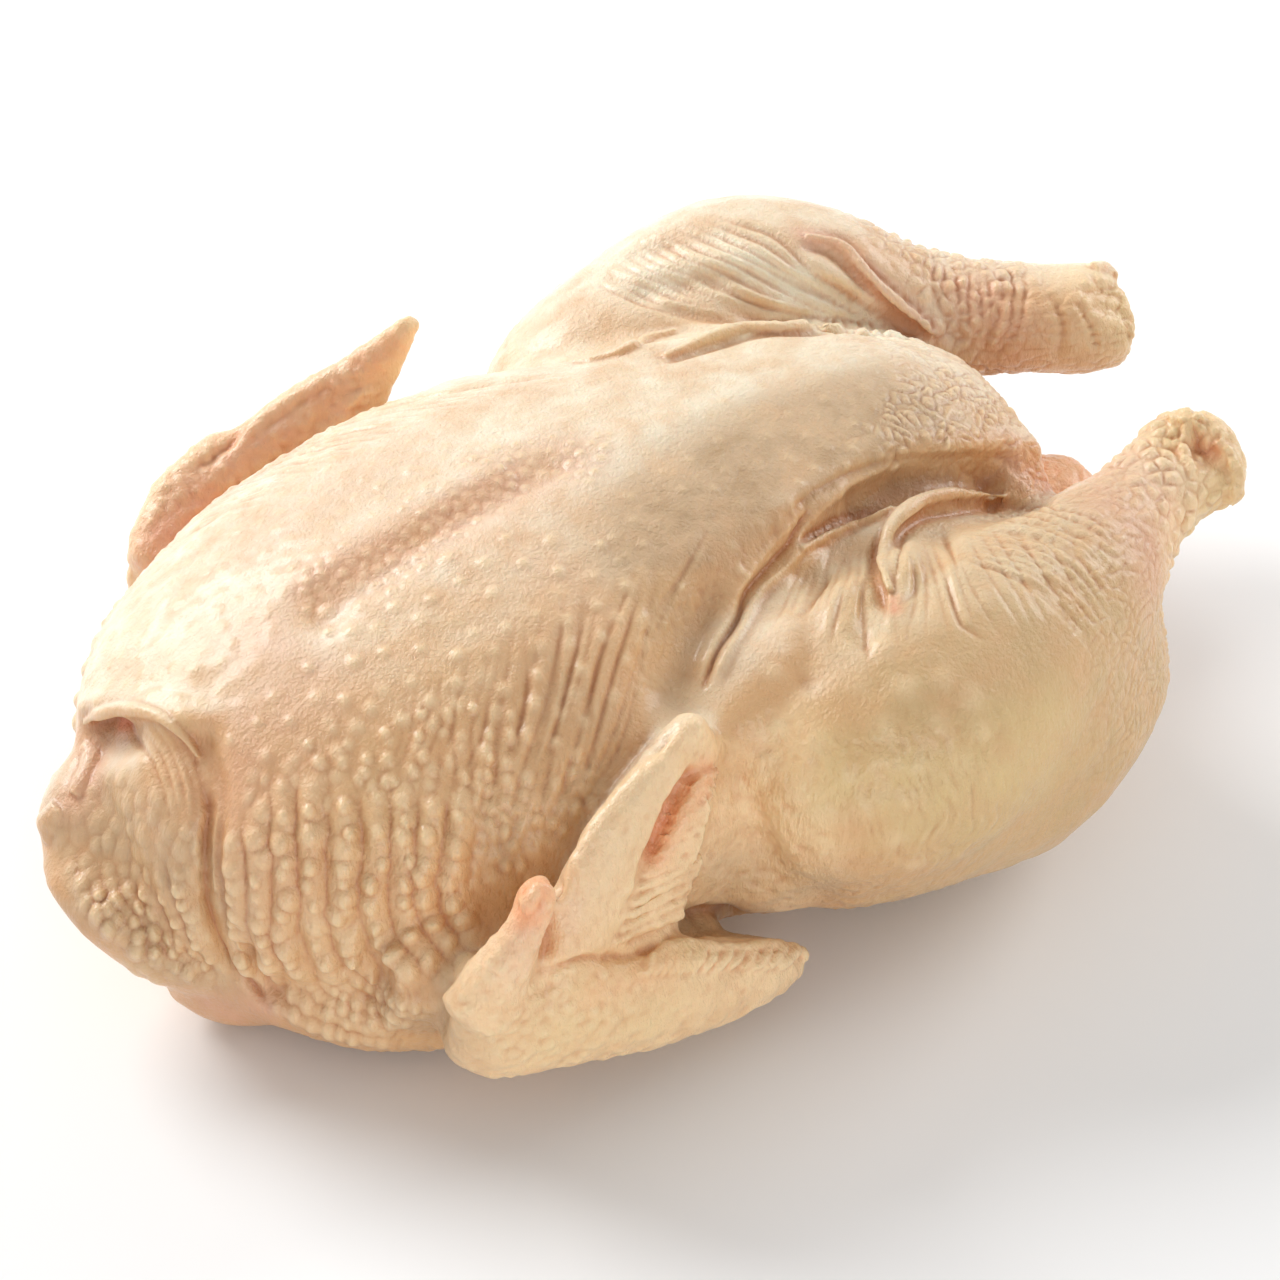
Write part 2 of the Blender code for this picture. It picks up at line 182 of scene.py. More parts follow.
# Families of like lines, spread evenly between guides that have equally many pixels: beads with (height,
# half width, spacing) or a crease with (depth, half width, fade at its ends), the count, how uneven they are
# in pixels, and the guides. The first table's families are also mirrored onto the far side.
BOTH_SIDES = {
    "strings": ("beads", (2.8, 3.1, 4.5), 9, 2.2, (
        ((233, 818), (233, 862), (237, 906), (244, 948), (262, 985)),
        ((300, 762), (300, 830), (300, 890), (302, 940), (325, 992)),
        ((385, 790), (388, 845), (386, 900), (396, 942), (440, 988)),
        ((462, 780), (455, 830), (452, 872), (462, 920), (476, 948)),
    )),
    "low_strings": ("beads", (1.6, 2.3, 3.6), 5, 1.5, (
        ((262, 990), (290, 1012), (330, 1030), (380, 1042)),
        ((330, 965), (365, 985), (410, 1000), (452, 1008)),
    )),
    "pleats": ("crease", (0.34, 0.75, 14), 30, 5, (
        ((405, 700), (390, 740), (378, 775), (370, 800)),
        ((500, 640), (490, 720), (478, 780), (462, 850)),
        ((585, 590), (565, 680), (545, 760), (520, 850)),
        ((668, 560), (640, 650), (610, 740), (585, 800)),
    )),
    "hollow_lines": ("crease", (0.2, 0.8, 6), 4, 2, (
        ((690, 560), (665, 600), (640, 640), (622, 680)),
        ((718, 520), (690, 560), (672, 600), (655, 645)),
    )),
}
ONE_SIDE = {
    "leg_curves": ("crease", (0.55, 0.85, 8), 15, 2, (
        ((985, 508), (1040, 506), (1090, 520), (1128, 548)),
        ((960, 560), (1010, 575), (1055, 605), (1092, 655)),
    )),
    "leg_fine": ("crease", (0.4, 0.75, 10), 24, 3, (
        ((806, 556), (790, 590), (772, 622)),
        ((852, 552), (842, 592), (830, 634)),
        ((905, 548), (906, 592), (896, 640)),
        ((950, 520), (975, 570), (1008, 630)),
        ((1010, 506), (1058, 552), (1096, 620)),
    )),
    "flap_rows": ("beads", (2.4, 2.6, 4.4), 7, 1.5, (
        ((66, 868), (86, 896), (104, 920), (130, 940), (165, 966)),
        ((118, 868), (134, 900), (152, 930), (176, 954), (214, 984)),
        ((172, 850), (184, 890), (194, 922), (204, 948), (226, 974)),
    )),
    "flap_folds": ("crease", (0.9, 1.1, 6), 5, 1.5, (
        ((128, 730), (146, 758), (160, 790), (172, 822)),
        ((170, 724), (190, 752), (202, 786), (204, 822)),
    )),
    "far_wrinkles": ("crease", (1.1, 1.1, 9), 13, 1.2, (
        ((720, 216), (775, 236), (815, 268), (862, 300), (925, 336)),
        ((640, 245), (700, 272), (765, 298), (830, 318), (915, 345)),
        ((600, 285), (650, 305), (710, 318), (780, 322), (860, 326)),
    )),
    "far_ankle": ("crease", (0.7, 1.0, 4), 9, 2, (
        ((930, 262), (938, 290), (944, 320), (948, 345)),
        ((1020, 264), (1024, 295), (1016, 330), (990, 368)),
    )),
}

# Short tubes across a wing's edge: (count, radii, lift, guides). Each has a ridge too, on both wings.
RIBS = {
    "hand_ribs": (15, (0.3, 1.0, 2.1), 0.5, (
        ((686, 787), (702, 778), (720, 768)),
        ((663, 835), (685, 822), (709, 806)),
        ((641, 879), (668, 866), (697, 853)),
        ((617, 942), (645, 926), (676, 908)),
    )),
    "forearm_scallops": (14, (1.2, 1.1, 0.5), 0.3, (
        ((650, 954), (650, 962), (646, 974)),
        ((706, 946), (706, 956), (698, 970)),
        ((794, 950), (788, 958), (778, 966)),
    )),
}
RIB_UNEVEN = 0.8
RIB_RIDGE = (-1.0, 0.95, 3)

# Follicles: (spacing, radius, height, below 1 where longer upright, outline of the place in pixels)
FOLLICLES = (
    (6.4, 1.5, 0.8, 0.75, (
        (300, 650), (380, 600), (500, 540), (640, 540), (640, 690), (510, 790), (380, 810), (260, 800),
        (225, 740))),
    (4.8, 1.25, 1.1, 0.55, (
        (320, 720), (520, 700), (500, 820), (380, 810), (300, 790), (235, 800))),
    (5.0, 1.5, 0.3, 0.9, (
        (85, 700), (110, 600), (190, 520), (300, 450), (420, 415), (450, 470), (330, 560), (240, 660),
        (190, 710))),
    (2.9, 1.3, 0.65, 1.0, (
        (300, 590), (400, 515), (470, 475), (530, 440), (600, 430), (590, 470), (515, 510), (440, 548),
        (365, 590), (310, 625))),
    (6.5, 1.3, 0.4, 1.0, (
        (600, 540), (640, 450), (900, 370), (1000, 400), (960, 450), (840, 480), (740, 540), (680, 600))),
    (9.0, 2.4, 0.4, 1.0, (
        (760, 640), (900, 640), (1000, 720), (900, 860), (760, 800))),
    (3.6, 1.4, 0.7, 0.8, (
        (430, 900), (520, 860), (600, 800), (560, 760), (500, 790), (440, 860))),
    (4.2, 1.9, 0.8, 0.6, (
        (50, 810), (120, 780), (180, 810), (205, 880), (215, 990), (160, 980), (80, 920))),
    (3.4, 1.3, 0.5, 1.0, (
        (480, 960), (540, 880), (560, 960), (640, 960), (600, 1060), (480, 1070))),
    (3.2, 1.3, 0.5, 1.0, (
        (230, 450), (400, 330), (380, 400), (250, 470), (150, 540), (150, 480))),
)
REAR_CRUMPLE = (
    (860, 440), (900, 380), (960, 360), (1000, 390), (1018, 430), (1018, 455), (960, 456), (900, 462))

# Crackled skin: (cell size, height of a cell, width of its edge as a share, how far it is set down)
ANKLE_CRACKLE = (3.7, 0.95, 0.6, 0.5)
LEG_CRACKLE = (2.8, 0.3, 0.35, 0.2)
REAR_CRACKLE = (3.0, 0.7, 0.5, 0.4)
LEG_STRETCH = np.array([0.5, 1.0, 1.0])

# Unevenness: (height, size, number of its noise), and the height and size of the waver that bends noise
ALL_OVER = ((0.35, 9.0, 2), (0.12, 3.0, 3))
SIDE_GRAIN = ((0.26, 1.5, 4), (0.18, 0.8, 9))
SIDE_STRETCH = np.array([1.0, 0.6, 0.22])
WING_FINE = (0.20, 1.7, 10)
WING_COARSE = (0.30, 3.2, 11)
WAVER = 2.5
WAVER_SIZE = 7.0

# Where a place begins and where it is full, along x, y and z
ANKLE_X, ANKLE_Y, ANKLE_Z = (84, 100), (20, 32), (26, 42)
KNUCKLE_X = (115, 127)
LEG_X, LEG_Y, LEG_Z = (42, 75), (60, 20), (20, 45)
SIDE_REAR_X, SIDE_FRONT_X, SIDE_UP = (50, 10), (-120, -95), (0.9, 0.45)
WING_X, WING_Y = (0, -10), (65, 70)
# The near rear side and leg, which get a painted shade
NEAR_SHADE_X, NEAR_SHADE_Y = (-5, 15), (-30, -45)

# The side of the skin that gets a painted highlight, as a direction, and how far a normal leans to it
# where the painted highlight begins and where it is full
HIGHLIGHT_SIDE = np.array((0.15, 0.77, 0.60))
HIGHLIGHT_LEAN = (0.05, 0.7)

# Colour on the skin, with painted highlight and painted shade among it: mask, (strength, half width in mm,
# pixels along it)
PAINT = (
    ("pink", (0.6, 10, ((320, 585), (400, 545), (480, 505), (560, 462)))),
    ("pink", (0.5, 12, ((270, 640), (285, 680), (260, 740), (235, 780)))),
    ("pink", (0.8, 9, ((1110, 500), (1140, 530), (1150, 570)))),
    ("pink", (0.5, 11, ((1110, 470), (1150, 490), (1140, 530)))),
    ("pink", (0.7, 10, ((975, 290), (1000, 320), (1010, 350)))),
    ("pink", (0.8, 4, ((805, 237), (845, 248), (890, 297), (935, 335)))),
    ("pink", (0.7, 6, ((80, 740), (95, 760), (75, 795)))),
    ("pink", (0.5, 12, ((520, 880), (545, 960)))),
    ("pink", (0.35, 14, ((270, 540), (330, 500), (400, 460)))),
    ("pink", (0.9, 8, ((150, 560), (180, 510), (230, 465), (300, 425), (345, 392)))),
    ("pink", (0.8, 6, ((215, 1005), (240, 1014), (262, 1008)))),
    # Painted highlight: a paler, whiter tint along the brightest lit places, on the far leg, the top of the
    # breast, the far side and a hock
    ("painted_highlight", (1.0, 15, ((640, 270), (720, 250), (800, 290), (900, 330)))),
    ("painted_highlight", (1.0, 13, ((580, 480), (650, 430), (760, 380), (860, 335)))),
    ("painted_highlight", (1.0, 14, ((110, 650), (160, 600), (240, 540)))),
    ("painted_highlight", (0.8, 8, ((1150, 470), (1190, 470)))),
    ("pink", (0.6, 4, ((1012, 440), (1018, 470)))),
    ("pink", (0.6, 5, ((535, 880), (525, 910), (512, 940)))),
    ("flesh", (1.4, 9, ((1046, 450), (1056, 462), (1068, 476)))),
    ("red", (0.5, 5, ((1040, 466), (1046, 478), (1052, 470)))),
    ("peach", (1.0, 13, ((1190, 440), (1215, 490), (1180, 530)))),
    ("peach", (0.8, 12, ((1100, 290), (1110, 340), (1060, 350)))),
    ("flesh", (0.9, 3.4, ((706, 772), (694, 788), (678, 810), (666, 832), (654, 856)))),
    ("flesh", (1.3, 5.5, ((537, 882), (534, 890), (528, 904)))),
    ("red", (0.6, 2, ((895, 608), (893, 600)))),
    ("red", (0.35, 5, ((150, 560), (175, 530), (215, 500), (250, 478), (300, 445)))),
    ("red", (0.5, 3, ((318, 398), (332, 392)))),
    ("red", (0.5, 4, ((366, 360), (392, 346)))),
    ("flesh", (0.6, 3, ((228, 440), (240, 430)))),
    ("flesh", (0.4, 6, ((660, 960), (600, 985)))),
    ("red", (0.8, 3, ((112, 724), (120, 724)))),
    ("red", (0.7, 3.5, ((1200, 448), (1208, 452)))),
    ("yellow", (0.9, 16, ((850, 780), (950, 790), (1040, 760)))),
    ("yellow", (0.8, 9, ((1180, 430), (1225, 480), (1200, 520)))),
    ("yellow", (0.6, 7, ((1120, 300), (1130, 330)))),
    ("yellow", (0.7, 5, ((640, 965), (680, 955), (580, 985)))),
    ("yellow", (0.5, 14, ((560, 1030), (640, 1010)))),
    ("yellow", (0.6, 3, ((700, 345), (750, 328), (840, 322)))),
    # Brownish tint: the skin's own colour on the neck flap, and painted shade where marked
    ("grey_and_shade", (0.9, 17, ((100, 815), (130, 835), (165, 860)))),
    # Painted shadow in the hollow beside the web fold
    ("grey_and_shade", (0.5, 9, ((738, 575), (712, 620), (700, 655)))),
    # Painted shade on the near slope of the rear breast's ridge
    ("grey_and_shade", (1.3, 15, ((660, 530), (760, 462), (850, 425), (900, 415)))),
    ("grey_and_shade", (0.8, 10, ((430, 1020), (450, 1030)))),
    ("grey_and_shade", (0.7, 12, ((80, 900), (150, 950), (200, 985)))),
    ("grey_and_shade", (0.7, 10, ((720, 875), (780, 885), (820, 880)))),
    # Painted shadow in the breast hollow
    ("grey_and_shade", (0.8, 12, ((690, 600), (700, 640)))),
    # Painted shade in the leg hollow
    ("grey_and_shade", (0.7, 9, ((840, 505), (900, 485), (960, 480)))),
    ("grey_and_shade", (0.6, 14, ((560, 700), (600, 760), (560, 840)))),
    ("grey_and_shade", (0.9, 8, ((690, 928), (750, 930)))),
    # Pale tint, partly a painted highlight
    ("pale", (0.8, 7, ((660, 700), (700, 730), (640, 800), (590, 880)))),
)


def fine_copy(source):
    """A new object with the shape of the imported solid."""
    copy = bpy.data.objects.new("skin", source.data.copy())
    bpy.context.scene.collection.objects.link(copy)
    return copy


def applied(item):
    """Applies the object's modifiers to its mesh."""
    graph = bpy.context.evaluated_depsgraph_get()
    graph.update()
    mesh = bpy.data.meshes.new_from_object(item.evaluated_get(graph))
    item.modifiers.clear()
    item.data = mesh


def remeshed(item, voxel, rounds):
    """Makes the object one skin of even faces, and evens out its facets without shrinking it."""
    remesh = item.modifiers.new("remesh", "REMESH")
    remesh.mode = "VOXEL"
    remesh.voxel_size = voxel * MM
    applied(item)
    edges = edges_of(item.data)
    points = evened(points_of(item.data), edges, rounds, REGROW)
    item.data.vertices.foreach_set("co", (points * MM).ravel())
    item.data.update()


def edges_of(mesh):
    edges = np.empty(2 * len(mesh.edges), np.int32)
    mesh.edges.foreach_get("vertices", edges)
    return edges.reshape(-1, 2)


def evened(points, edges, rounds, back=0.0):
    """The points drawn towards their neighbours' middle, and back out by the second share, in rounds."""
    low, high = edges.T
    count = len(points)
    ends = np.bincount(low, minlength=count) + np.bincount(high, minlength=count)
    ends = np.maximum(ends, 1)
    points = points.copy()
    for share in (SHRINK, back) * rounds:
        if not share:
            continue
        for axis in range(points.shape[1]):
            values = points[:, axis]
            total = np.bincount(low, values[high], count) + np.bincount(high, values[low], count)
            points[:, axis] += share * (total / ends - values)
    return points


def points_of(mesh):
    """The mesh's points in millimetres."""
    points = np.empty(3 * len(mesh.vertices))
    mesh.vertices.foreach_get("co", points)
    return points.reshape(-1, 3) / MM


def normals_of(mesh):
    normals = np.empty(3 * len(mesh.vertices))
    mesh.vertex_normals.foreach_get("vector", normals)
    return normals.reshape(-1, 3)


def catmull_rom(rows, spacing):
    """A smooth line through the rows, with points about this far apart."""
    rows = np.array(rows, float)
    if len(rows) < 2:
        return rows
    padded = np.vstack([2 * rows[0] - rows[1], rows, 2 * rows[-1] - rows[-2]])
    out = []
    for i in range(len(rows) - 1):
        a, b, c, d = padded[i : i + 4]
        steps = max(2, int(np.linalg.norm(c - b) / spacing))
        t = (np.arange(steps) / steps)[:, None]
        cubic = (3 * b - 3 * c + d - a) * t**3
        out.append(0.5 * (2 * b + (c - a) * t + (2 * a - 5 * b + 4 * c - d) * t**2 + cubic))
    out.append(rows[-1:])
    return np.vstack(out)


def without_jumps(rows):
    """The rows without those that lie well in front of or behind most of their neighbours."""
    depth = rows @ np.array(BACK)
    around = (depth[max(0, i - JUMP_SPAN) : i + JUMP_SPAN + 1] for i in range(len(rows)))
    usual = np.array([np.median(part) for part in around])
    kept = rows[np.abs(depth - usual) < JUMP]
    return kept if len(kept) > 2 else rows


class Ground:
    """The smooth solid, onto which lines are cast."""

    def __init__(self, mesh):
        mesh.calc_loop_triangles()
        faces = [tuple(t.vertices) for t in mesh.loop_triangles]
        self.tree = BVHTree.FromPolygons([Vector(p) for p in points_of(mesh)], faces)

    def cast(self, x, y):
        """The point where the photograph's pixel shows the solid, or the point of it nearest that ray."""
        eye = TARGET + BACK * DISTANCE
        way = (-BACK * FOCAL + RIGHT * (x - PHOTO / 2) + UP * (PHOTO / 2 - y)).normalized()
        point = self.tree.ray_cast(eye, way)[0]
        if point is None:
            steps = np.arange(DISTANCE - RAY_REACH, DISTANCE + RAY_REACH, RAY_STEP)
            found = (self.tree.find_nearest(eye + way * far) for far in steps)
            point = min(found, key=lambda nearest: nearest[3])[0]
        return point

    def line(self, pixels, mirror=False):
        """The smooth line on the solid through these pixels, or its mirror image across the bird."""
        rows = np.array([self.cast(x, y) for x, y in catmull_rom(pixels, LINE_STEP * 6)])
        rows = without_jumps(rows)
        if mirror:
            rows = [self.tree.find_nearest(Vector((x, -y, z)))[0] for x, y, z in rows]
        return catmull_rom(rows, LINE_STEP)

    def lifted(self, pixels, lift):
        """The line on the solid through these pixels, this far above it all along."""
        rows = []
        for place in self.line(pixels):
            point, normal, _, _ = self.tree.find_nearest(Vector(place))
            rows.append(point + normal * lift)
        return catmull_rom(rows[::3] + rows[-1:], LINE_STEP)


class Skin:
    """The fine skin's points, the heights to raise them by, and masks for its colours."""

    def __init__(self, item):
        self.item = item
        self.rest()
        self.masks = {name: np.zeros(len(self.points)) for name in MASKS}

    def rest(self):
        """Reads the mesh as it is now, and starts again from no height."""
        self.points = points_of(self.item.data)
        self.normals = normals_of(self.item.data)
        self.height = np.zeros(len(self.points))
        self.swell = np.zeros(len(self.points))
        keys = self.key(np.floor(self.points / CELL).astype(np.int64))
        self.order = np.argsort(keys, kind="stable")
        self.keys = keys[self.order]

    @staticmethod
    def key(cells):
        return ((cells[..., 0] + 500) * 1000 + cells[..., 1] + 500) * 1000 + cells[..., 2] + 500

    def near(self, line, reach):
        """The numbers of the points in cells within reach of the line."""
        span = int(math.ceil(reach / CELL))
        steps = np.arange(-span, span + 1)
        around = np.stack(np.meshgrid(steps, steps, steps, indexing="ij"), -1).reshape(-1, 3)
        cells = np.floor(line / CELL).astype(np.int64)
        cells = np.unique(cells, axis=0)
        wanted = np.unique(self.key(cells[:, None, :] + around[None, :, :]).ravel())
        low = np.searchsorted(self.keys, wanted, "left")
        high = np.searchsorted(self.keys, wanted, "right")
        found = [self.order[a:b] for a, b in zip(low, high) if b > a]
        return np.concatenate(found or [np.zeros(0, np.int64)])

    def along(self, line, reach):
        """(point numbers, distance from the line, distance along it, the line's length)."""
        near = self.near(line, reach)
        best = np.full(len(near), np.inf)
        where = np.zeros(len(near))
        run = 0.0
        points = self.points[near]
        for a, b in zip(line, line[1:]):
            way = b - a
            length = np.linalg.norm(way)
            if length < 1e-6:
                continue
            share = np.clip((points - a) @ way / (length * length), 0, 1)
            apart = np.linalg.norm(points - a - share[:, None] * way, axis=1)
            closer = apart < best
            best[closer] = apart[closer]
            where[closer] = run + share[closer] * length
            run += length
        keep = best < reach
        return near[keep], best[keep], where[keep], run

    def press(self, line, depth, width, ends=4.0):
        """Presses a crease of this depth and half width into the skin, or raises a ridge below 0."""
        near, apart, where, length = self.along(line, PRESS_REACH * width)
        fade = np.clip(np.minimum(where, length - where) / min(ends, length / 2), 0, 1)
        fade = END_SHARE + (1 - END_SHARE) * fade
        self.height[near] -= depth * np.exp(-((apart / width) ** 2)) * fade

    def string(self, line, height, width, spacing, random, ends=7.0):
        """A raised ridge with uneven bumps along it. Where ridges meet, the higher one counts."""
        near, apart, where, length = self.along(line, width)
        fade = np.clip(np.minimum(where, length - where) / min(ends, length / 2), 0, 1)
        shape = np.clip(1 - (apart / width) ** 2, 0, 1)
        self.swell[near] = np.maximum(self.swell[near], RIDGE_SHARE * height * fade * shape)
        stops = np.cumsum(random.uniform(0.6, 1.4, int(length / spacing) + 4)) * spacing
        steps = np.linalg.norm(np.diff(line, axis=0), axis=1)
        run = np.concatenate([[0], np.cumsum(steps)])
        stops = stops[stops < length]
        centres = np.stack([np.interp(stops, run, line[:, axis]) for axis in range(3)], 1)
        centres += random.normal(0, BEAD_STRAY * width, centres.shape)
        ends_off = np.clip(np.minimum(stops, length - stops) / ends, 0.35, 1)
        radii = BEAD_SHARE * width * random.uniform(0.75, 1.2, len(stops))
        heights = height * ends_off * random.uniform(0.75, 1.15, len(stops))
        # The beads' tops are tinted pale, partly as a painted highlight
        self.bumps(centres, radii, heights, "pale", BEAD_STRETCH)

    def shown_in(self, outline):
        """1 for points shown inside this outline of pixels, and for hidden points whose mirror image is."""
        inside = np.zeros(len(self.points))
        ragged = self.points / 9.0
        ragged = [EDGE_RAGGED * value_noise(ragged, SEED + 20 + k) for k in range(2)]
        for flip in (1, -1):
            away = self.points * np.array([1, flip, 1]) - np.array(TARGET)
            turned = self.normals * np.array([1, flip, 1])
            depth = DISTANCE - away @ np.array(BACK)
            across = PHOTO / 2 + FOCAL * (away @ np.array(RIGHT)) / depth
            down = PHOTO / 2 - FOCAL * (away @ np.array(UP)) / depth
            facing = smooth_step(0.0, 0.3, turned @ np.array(BACK))
            if flip < 0:
                hidden = smooth_step(-0.1, -0.4, self.normals @ np.array(BACK))
                facing = facing * (self.points[:, 1] > 0) * (turned[:, 1] < 0) * hidden
            hit = inside_outline(across + ragged[0], down + ragged[1], outline) * facing
            inside = np.maximum(inside, hit)
        return inside

    def paint(self, mask, line, strength, width):
        near, apart, _, _ = self.along(line, PAINT_REACH * width)
        shade = strength * np.exp(-((apart / width) ** 2))
        self.masks[mask][near] = np.maximum(self.masks[mask][near], shade)

    def bumps(self, centres, radii, heights, mask, stretch):
        """Raises and tints a bump at each centre, longer upright where stretch is below 1."""
        for centre, radius, height in zip(centres, radii, heights):
            near = self.near(centre[None, :], BUMP_REACH * radius / stretch)
            apart = np.linalg.norm((self.points[near] - centre) * np.array([1, 1, stretch]), axis=1)
            shape = np.exp(-((apart / radius) ** BUMP_FLATNESS))
            self.swell[near] = np.maximum(self.swell[near], height * shape)
            tint = BUMP_TINT * shape**BUMP_TINT_SPREAD
            self.masks[mask][near] = np.maximum(self.masks[mask][near], tint)

    def lift(self):
        """Moves the points out by the heights gathered so far."""
        moved = self.points + self.normals * (self.height + self.swell)[:, None]
        moved[:, 2] = np.maximum(moved[:, 2], 0.0)
        self.item.data.vertices.foreach_set("co", (moved * MM).ravel())
        self.item.data.update()
        self.rest()


def inside_outline(x, y, outline):
    """Whether each place is inside the outline, as 0 or 1."""
    inside = np.zeros(len(x), bool)
    for (x0, y0), (x1, y1) in zip(outline, outline[1:] + outline[:1]):
        if y0 != y1:
            crossed = ((y0 > y) != (y1 > y)) & (x < x0 + (y - y0) * (x1 - x0) / (y1 - y0))
            inside ^= crossed
    return inside.astype(float)


def value_noise(points, seed):
    """Smooth noise from -1 to 1, with one random value for each unit cube's corner."""
    table = np.random.default_rng(seed).random((32, 32, 32)) * 2 - 1
    low = np.floor(points).astype(np.int64)
    part = points - low
    part = part * part * (3 - 2 * part)
    total = np.zeros(len(points))
    for corner in range(8):
        bits = np.array([corner & 1, corner >> 1 & 1, corner >> 2 & 1])
        index = (low + bits) % 32
        weight = np.prod(np.where(bits, part, 1 - part), axis=1)
        total += weight * table[index[:, 0], index[:, 1], index[:, 2]]
    return total


def cell_distances(points, seed):
    """(nearest, second nearest) distance to one random point in each unit cube."""
    table = np.random.default_rng(seed).random((32, 32, 32, 3))
    low = np.floor(points).astype(np.int64)
    first = np.full(len(points), np.inf)
    second = np.full(len(points), np.inf)
    for step in range(27):
        cell = low + np.array([step % 3 - 1, step // 3 % 3 - 1, step // 9 - 1])
        index = cell % 32
        spot = cell + table[index[:, 0], index[:, 1], index[:, 2]]
        apart = np.linalg.norm(points - spot, axis=1)
        second = np.minimum(second, np.maximum(apart, first))
        first = np.minimum(first, apart)
    return first, second


def in_between(guides, count, random, jitter):
    """Pixel lines spread evenly between the guides, each a little uneven."""
    guides = np.array(guides, float)
    for k in range(count):
        place = k / max(count - 1, 1) * (len(guides) - 1)
        low = min(int(place), len(guides) - 2)
        line = guides[low] + (guides[low + 1] - guides[low]) * (place - low)
        yield line + random.normal(0, jitter, line.shape)


def spread(skin, wanted, spacing, random):
    """Points of the skin at least this far apart where the mask is above a random draw."""
    order = random.permutation(np.flatnonzero(random.random(len(skin.points)) < wanted))
    taken = {}
    chosen = []
    cells = np.floor(skin.points / spacing).astype(int)
    for number in order:
        x, y, z = cells[number]
        place = skin.points[number]
        close = False
        for dx in (-1, 0, 1):
            for dy in (-1, 0, 1):
                for dz in (-1, 0, 1):
                    other = taken.get((x + dx, y + dy, z + dz))
                    if other is not None and np.abs(other - place).sum() < spacing * 1.2:
                        if np.linalg.norm(other - place) < spacing:
                            close = True
        if not close and (x, y, z) not in taken:
            taken[(x, y, z)] = place
            chosen.append(number)
    return skin.points[chosen]


def smooth_step(low, high, value):
    share = np.clip((value - low) / (high - low), 0, 1)
    return share * share * (3 - 2 * share)


def sculpt_rolls(ground, item, random):
    """Adds the rolled edges to the object as closed tubes, before it becomes one skin."""
    tubes = []
    rolls = [(name, *values) for name, values in ROLLS.items()]
    for name, (count, radii, lift, guides) in RIBS.items():
        for pixels in in_between(guides, count, random, RIB_UNEVEN):
            rolls.append((name, radii, lift, pixels))
    for name, radii, lift, pixels in rolls:
        line = ground.lifted(pixels, lift)
        curve = bpy.data.curves.new(name, "CURVE")
        curve.dimensions = "3D"
        curve.bevel_depth = MM
        curve.bevel_resolution = 4
        curve.use_fill_caps = True
        spline = curve.splines.new("POLY")
        spline.points.add(len(line) - 1)
        share = np.linspace(0, 1, len(line))
        thick = np.interp(share, np.linspace(0, 1, len(radii)), radii)
        for point, place, radius in zip(spline.points, line, thick):
            point.co = (*(place * MM), 1)
            point.radius = radius
        tube = bpy.data.objects.new(name, curve)
        bpy.context.scene.collection.objects.link(tube)
        tubes.append(tube)
    graph = bpy.context.evaluated_depsgraph_get()
    graph.update()
    points = [points_of(item.data)]
    faces = [list(face.vertices) for face in item.data.polygons]
    for tube in tubes:
        mesh = bpy.data.meshes.new_from_object(tube.evaluated_get(graph))
        start = sum(len(p) for p in points)
        points.append(points_of(mesh))
        faces += [[v + start for v in face.vertices] for face in mesh.polygons]
        bpy.data.objects.remove(tube)
    joined = bpy.data.meshes.new("skin")
    joined.from_pydata(np.vstack(points) * MM, [], faces)
    item.data = joined


def sculpt_family(ground, skin, random, name, mirror):
    """One family of beads or creases, on the side that the photograph shows or mirrored."""
    kind, shape, count, uneven, guides = {**BOTH_SIDES, **ONE_SIDE}[name]
    for pixels in in_between(guides, count, random, uneven):
        line = ground.line(pixels, mirror)
        if kind == "crease":
            skin.press(line, *shape)
            continue
        if mirror and name == "strings":
            # The far rows start lower, where the photograph's camera doesn't see them
            line = line[len(line) * 2 // 5 :]
        skin.string(line, *shape, random)


def sculpt_folds(ground, skin, random):
    """The creases, beads, pleats and wrinkles that follow lines."""
    for count, _, _, guides in RIBS.values():
        for mirror in (False, True):
            for pixels in in_between(guides, count, random, RIB_UNEVEN):
                skin.press(ground.line(pixels, mirror), *RIB_RIDGE)
    for depth, width, pixels in CREASES.values():
        skin.press(ground.line(pixels), depth, width)
    for mirror in (False, True):
        for name in BOTH_SIDES:
            sculpt_family(ground, skin, random, name, mirror)
    for name in ONE_SIDE:
        sculpt_family(ground, skin, random, name, False)


def wing_share(skin):
    """1 on the wings, 0 elsewhere."""
    x, y, _ = skin.points.T
    return smooth_step(*WING_Y, np.abs(y)) * smooth_step(*WING_X, x)


def paint_skin(ground, skin):
    """Tints by place: a paler painted highlight above and on the far side, a darker painted shade on the
    near leg, peach wings, and PAINT's lines.
    """
    toward_light = skin.normals @ HIGHLIGHT_SIDE
    x, y, _ = skin.points.T
    # Painted shade: a darker tone on the near rear side
    skin.masks["near_side_shade"] = smooth_step(*NEAR_SHADE_X, x) * smooth_step(*NEAR_SHADE_Y, y)
    # Painted highlight: paler where the normal leans towards the light, and less of it on the near side's
    # painted shade
    uneven = 0.85 + 0.15 * value_noise(skin.points / 14, SEED + 30)
    skin.masks["painted_highlight"] = smooth_step(*HIGHLIGHT_LEAN, toward_light) * uneven * (1 - 0.6 * skin.masks["near_side_shade"])
    skin.masks["peach"] = wing_share(skin)
    for mask, (strength, width, pixels) in PAINT:
        skin.paint(mask, ground.line(pixels), strength, width)


def crackled(points, size, height, edge, down, seed):
    """Heights of flat cells with creases between them."""
    first, second = cell_distances(points / size, seed)
    return height * smooth_step(0.0, edge, second - first) - down


